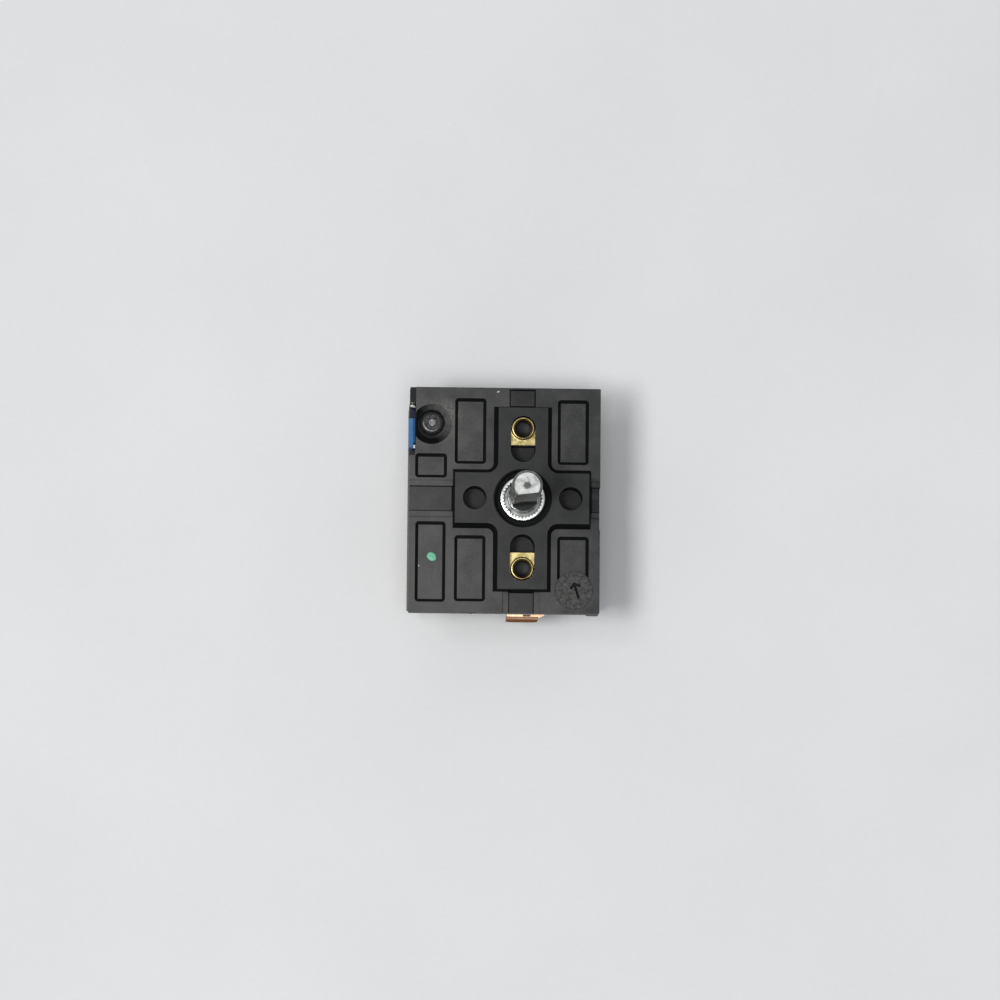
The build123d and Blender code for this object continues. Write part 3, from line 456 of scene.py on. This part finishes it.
def bimetal():
    """Two rolled layers, told apart on the strip's edges."""
    p = Paint("bimetal", 0.32, 1.0)
    middle = 0.5 * (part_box("bimetal_strip")[0][0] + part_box("bimetal_strip")[1][0])
    layer = p.steps(p.axis("X"), middle - 0.02 * MM, middle + 0.02 * MM)
    lines = p.noise(0.15, 2.0, stretch=(1.0, 0.06, 1.0))
    warm = p.mix(lines, (0.47, 0.40, 0.31), (0.60, 0.52, 0.41))
    cool = p.mix(lines, (0.44, 0.45, 0.45), (0.58, 0.58, 0.57))
    p.colour(p.mix(layer, warm, cool))
    p.rough(p.steps(lines, 0.3, 0.7, 0.26, 0.40))
    p.bump(lines, 0.004, 0.5)
    return p.material


def paint(name, low, high, roughness):
    """Thick dab of paint."""
    p = Paint(name, roughness)
    flow = p.cloud(0.4)
    p.colour(p.mix(flow, low, high))
    p.rough(p.steps(flow, 0.0, 1.0, roughness - 0.08, roughness + 0.08))
    p.bump(p.noise(0.3), 0.02, 0.6)
    return p.material


def board():
    """Pale plain floor."""
    p = Paint("board", 0.7)
    tone = p.plus(p.times(p.cloud(60.0, 5.0), 0.7), p.times(p.cloud(0.8, 2.0), 0.3))
    p.colour(p.mix(tone, (0.715, 0.720, 0.730), (0.765, 0.768, 0.775)))
    p.specular(0.2)
    return p.material


def copper():
    """Rolled copper strip: bright towards the front, painted dark as shade down the outward face
    of its leg and in its relief.
    """
    p = Paint("copper", 0.3, 1.0)
    p.edge_tint((0.60, 0.36, 0.22))
    cloud = p.cloud(1.2, 4.0)
    lines = p.noise(0.12, 2.0, stretch=(1.0, 0.15, 1.0))
    sheet = p.mix(cloud, (0.58, 0.33, 0.20), (0.78, 0.54, 0.38))
    # painted shade on the leg's outward face and in the relief
    outward = p.steps(p.axis("Y", p.own_normal), -0.90, -0.60, 1.0, 0.0)
    leg = p.times(outward, p.under("Z", -13.1, 0.3))
    beside = p.size(p.minus(p.axis("X"), 1.4 * MM))
    relief = p.times(p.steps(beside, 0.74 * MM, 0.80 * MM, 1.0, 0.0),
                     p.over("Y", -22.64, 0.04))
    dull = p.most(p.times(leg, 0.92), relief)
    p.colour(p.mix(dull, sheet, (0.10, 0.040, 0.018)))
    p.rough(p.steps(p.plus(cloud, lines), 0.5, 1.5, 0.46, 0.36))
    p.bump(lines, 0.002, 0.4)
    return p.material


def nut_brass():
    """Brass sheet: yellow plate, browner round the drawn collar, whose walls are painted darker as
    shade, threads in its bore.
    """
    p = Paint("nut_brass", 0.3, 1.0)
    sheet_cloud = p.cloud(1.3, 4.0)
    radius = p.distance(0.0, NUT_Y, mirrored=True)
    # the collar's walls are painted browner as shade
    collar = p.times(p.steps(radius, 2.05, 2.20), p.walls(0.60, 0.97))
    bore = p.steps(radius, BORE - 0.02, BORE + 0.06, 1.0, 0.0)
    sheet = p.mix(sheet_cloud, (0.22, 0.18, 0.07), (0.44, 0.375, 0.18))
    mouth = p.steps(radius, 1.92, 1.99, 1.0, 0.0)
    brown = p.most(p.times(collar, 0.8), p.times(mouth, 0.9))
    tone = p.mix(brown, sheet, (0.17, 0.12, 0.03))

    # each collar is painted darker and browner as shade on its side towards -y
    nearest_axis = p.times(p.math("SIGN", p.axis("Y")), NUT_Y * MM)
    shaded_low_side = p.times(p.steps(p.minus(p.axis("Y"), nearest_axis), -1.9 * MM, -0.7 * MM, 1.0, 0.0),
                       p.over("Z", COLLAR_FROM, 0.05))
    tone = p.mix(p.times(shaded_low_side, 0.85), tone, (0.075, 0.048, 0.024))

    p.colour(p.mix(bore, tone, (0.13, 0.11, 0.05)))
    p.rough(p.steps(p.plus(sheet_cloud, bore), 0.0, 2.0, 0.26, 0.42))
    thread_pitch = 0.5 * MM
    thread = p.times(bore, p.math("SINE", p.times(p.axis("Z"), 2 * math.pi / thread_pitch)))
    p.bump(p.plus(thread, p.times(p.noise(0.2), 0.1)), 0.05, 0.6)
    return p.material


BRASS = metal("brass", (0.56, 0.37, 0.12), (0.80, 0.58, 0.24), 0.30, 1.6)
BRONZE = metal("bronze", (0.50, 0.32, 0.15), (0.66, 0.45, 0.24), 0.30, 1.4, (1.0, 0.08, 1.0))
PLATED = metal("plated_steel", (0.46, 0.46, 0.44), (0.64, 0.64, 0.62), 0.30, 1.0)
# spring steel and ring steel are painted darker, as the shade inside the shaft's sleeve
SPRING = metal("spring_steel", (0.14, 0.14, 0.14), (0.36, 0.36, 0.35), 0.26, 0.8)
RING = metal("ring_steel", (0.05, 0.052, 0.05), (0.30, 0.31, 0.30), 0.28, 1.6)
DULL = metal("dull_steel", (0.08, 0.08, 0.08), (0.20, 0.20, 0.195), 0.46, 0.6)
SILVER = metal("silver_contact", (0.66, 0.66, 0.64), (0.84, 0.84, 0.82), 0.34, 0.7)
WIRE = metal("heater_wire", (0.16, 0.14, 0.13), (0.32, 0.29, 0.26), 0.45, 0.5)

# spots of the front housing and of the rear one, in mm: see moulding()
WORN = [(-14.6, 17.2, 0.8, 3.2, 0.80), (-16.9, 15.6, 3.6, 5.2, 0.45),
        (-12.3, 11.9, 0.6, 2.2, 0.35), (7.6, -20.4, 0.5, 2.0, 0.30)]
DARK_PATCHES = [(14.5, 3.6, 0.5, 1.3, 0.5), (14.5, -3.7, 0.5, 1.3, 0.5), (-0.1, 20.8, 1.5, 3.0, 0.3),
         (14.9, 2.4, 1.0, 2.0, 0.6), (14.9, -1.2, 1.2, 2.4, 0.6)]
# hollows painted dark as shade: the wheel's engraving, the countersink, the notch and the shaft's
# hole
SHADED_HOLLOWS = [(10.89, -18.1, 2.1, 1.0), (*CONE, 4.05, 0.92), (-22.6, 20.9, 2.2, 0.85),
        (-22.6, 17.2, 1.9, 0.85), (0.0, 0.0, 5.6, 0.9)]
SHADED_HOLLOWS_REAR = [(-22.0, 17.0, 4.0, 0.95)]

dress(moulding("front_thermoset", WORN, DARK_PATCHES, SHADED_HOLLOWS), "front_housing")
dress(moulding("rear_thermoset", shaded_hollows=SHADED_HOLLOWS_REAR), "rear_housing")
dress(nut_brass(), "mount_nuts")
dress(BRASS, "line_1_terminal", "line_2_terminal", "heater_1_terminal",
      "heater_2_terminal")
dress(copper(), "pilot_terminal")
dress(BRONZE, "snap_spring", "line_spring", "pilot_spring")
dress(PLATED, "housing_screws", "pivot_pin", "control_lever")
dress(RING, "retaining_rings")
dress(DULL, "calibration_screw")
dress(SPRING, "return_spring", "heater_clip")
dress(SILVER, "fixed_contacts", "snap_rivet", "line_rivet", "pilot_rivet")
dress(WIRE, "heater_winding")
dress(shaft_zinc(), "shaft")
dress(rim_steel(), "shaft_sleeve")
dress(cam_plastic(), "cam_disc")
dress(blue_plastic(), "fulcrum_block")
dress(seal_lacquer(), "calibration_seal")
dress(blued_steel(), "block_clip")
dress(ceramic(), "heater_plate", "push_stud")
dress(bimetal(), "bimetal_strip")


# ---------------------------------------------------------------- small pieces
def piece(name, points_mm, faces, material, body="housing"):
    """Mesh piece from points in mm, riding on a CAD body."""
    mesh = bpy.data.meshes.new(name)
    mesh.from_pydata([Vector(p) * MM for p in points_mm], [], faces)
    mesh.materials.append(material)
    obj = bpy.data.objects.new(name, mesh)
    bpy.context.scene.collection.objects.link(obj)
    for polygon in mesh.polygons:
        polygon.use_smooth = True
    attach(obj, body)
    return obj


def dab(name, x, y, z, half_x, half_y, height, turn, seed, material, ragged=0.10):
    """Low dome with a ragged edge, such as a drop of paint or a speck."""
    rng = random.Random(seed)
    around = 28
    wave = [(rng.uniform(0.2, 1.0) * ragged, rng.randint(2, 5), rng.uniform(0, 6.28))
            for _ in range(3)]
    rings = ((1.0, -0.02), (0.96, 0.45), (0.80, 0.80), (0.45, 1.0))  # share of size, of height
    points = []
    for share, lift in rings:
        for i in range(around):
            angle = 2 * math.pi * i / around
            edge = 1.0 + sum(a * math.sin(n * angle + s) for a, n, s in wave)
            px = half_x * share * edge * math.cos(angle)
            py = half_y * share * edge * math.sin(angle)
            points.append((x + px * math.cos(turn) - py * math.sin(turn),
                           y + px * math.sin(turn) + py * math.cos(turn), z + height * lift))
    faces = []
    for ring in range(len(rings) - 1):
        for i in range(around):
            a, b = ring * around + i, ring * around + (i + 1) % around
            faces.append((a, b, b + around, a + around))
    faces.append(tuple(range((len(rings) - 1) * around, len(rings) * around)))
    faces.append(tuple(reversed(range(around))))
    return piece(name, points, faces, material)


def burr(name, x_low, x_high, y_edge, reach, z, seed):
    """Ragged flash of moulding that stands out of the lower edge."""
    rng = random.Random(seed)
    steps = 14
    root = 0.25               # how far it reaches into the moulding
    thickness = 0.16
    droop = 0.03
    points = []
    for i in range(steps + 1):
        share = i / steps
        out = reach * math.sin(math.pi * share) * rng.uniform(0.35, 1.0)
        x = x_low + (x_high - x_low) * share
        for lift in (0.0, -thickness):
            points.append((x, y_edge + root, z + lift))
            points.append((x, y_edge - out, z + lift - droop))
    faces = []
    for i in range(steps):
        a, b = 4 * i, 4 * (i + 1)
        faces += [(a, a + 1, b + 1, b), (a + 2, b + 2, b + 3, a + 3),
                  (a + 1, a + 3, b + 3, b + 1), (a, b, b + 2, a + 2)]
    faces += [(0, 2, 3, 1), (4 * steps, 4 * steps + 1, 4 * steps + 3, 4 * steps + 2)]
    return piece(name, points, faces, bpy.data.materials["front_thermoset"])


GREEN = paint("green_paint", (0.065, 0.34, 0.20), (0.150, 0.50, 0.33), 0.45)
SPECK = paint("pale_speck", (0.42, 0.42, 0.40), (0.62, 0.62, 0.60), 0.6)
dab("paint_dot", -17.94, -11.57, POCKET_FLOOR, 1.02, 0.80, 0.05, -0.6, 3, GREEN, 0.03)
dab("speck_upper", -4.96, 21.5, FACE, 0.32, 0.13, 0.04, 0.25, 5, SPECK)
dab("speck_lower", -20.48, -13.4, POCKET_FLOOR, 0.10, 0.20, 0.05, 0.2, 8, SPECK)
burr("edge_flash", -11.6, -9.0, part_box("front_housing")[0][1] / MM, 0.36, FACE - 0.1, 11)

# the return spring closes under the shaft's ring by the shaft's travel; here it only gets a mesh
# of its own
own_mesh(bpy.data.objects["return_spring"])

finish_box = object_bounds()


# ---------------------------------------------------------------- floor, light and camera
def floor():
    """Square floor that the lowest point of the switch stands on."""
    half = 3.0
    z = finish_box[0][2]
    mesh = bpy.data.meshes.new("floor")
    mesh.from_pydata([(-half, -half, z), (half, -half, z), (half, half, z), (-half, half, z)], [],
                     [(0, 1, 2, 3)])
    mesh.materials.append(board())
    obj = bpy.data.objects.new("floor", mesh)
    bpy.context.scene.collection.objects.link(obj)


def lamp(name, towards, size, power, tint=(1.0, 1.0, 1.0)):
    """Square area lamp that faces the switch from one direction."""
    distance = 1.4
    data = bpy.data.lights.new(name, "AREA")
    data.shape = "SQUARE"
    data.size = size
    data.energy = power
    data.color = tint
    obj = bpy.data.objects.new(name, data)
    direction = Vector(towards).normalized()
    obj.location = direction * distance
    obj.rotation_euler = direction.to_track_quat("Z", "Y").to_euler()
    bpy.context.scene.collection.objects.link(obj)


def world(strength):
    scene_world = bpy.data.worlds.new("room")
    scene_world.use_nodes = True
    background = scene_world.node_tree.nodes["Background"]
    background.inputs["Color"].default_value = (0.93, 0.96, 1.0, 1.0)
    background.inputs["Strength"].default_value = strength
    bpy.context.scene.world = scene_world


def camera(place_mm, turn_deg, lens_mm):
    data = bpy.data.cameras.new("camera")
    data.lens = lens_mm
    data.sensor_width = 36.0
    data.clip_start = 0.05
    data.clip_end = 10.0
    obj = bpy.data.objects.new("camera", data)
    obj.location = Vector(place_mm) * MM
    obj.rotation_euler = Euler([math.radians(a) for a in turn_deg], "XYZ")
    bpy.context.scene.collection.objects.link(obj)
    bpy.context.scene.camera = obj


floor()
world(strength=0.29)
lamp("key", towards=(-0.28, -0.12, 1.0), size=0.22, power=8.0, tint=(1.0, 0.99, 0.97))
lamp("key_high", towards=(-0.30, 0.04, 1.0), size=0.24, power=2.6)
lamp("overhead", towards=(-0.02, -0.15, 1.0), size=0.30, power=4.8)
camera(place_mm=(-36.79, -103.86, 986.62), turn_deg=(5.965, -1.927, 0.513), lens_mm=180.0)

scene = bpy.context.scene
scene.view_settings.view_transform = "Standard"
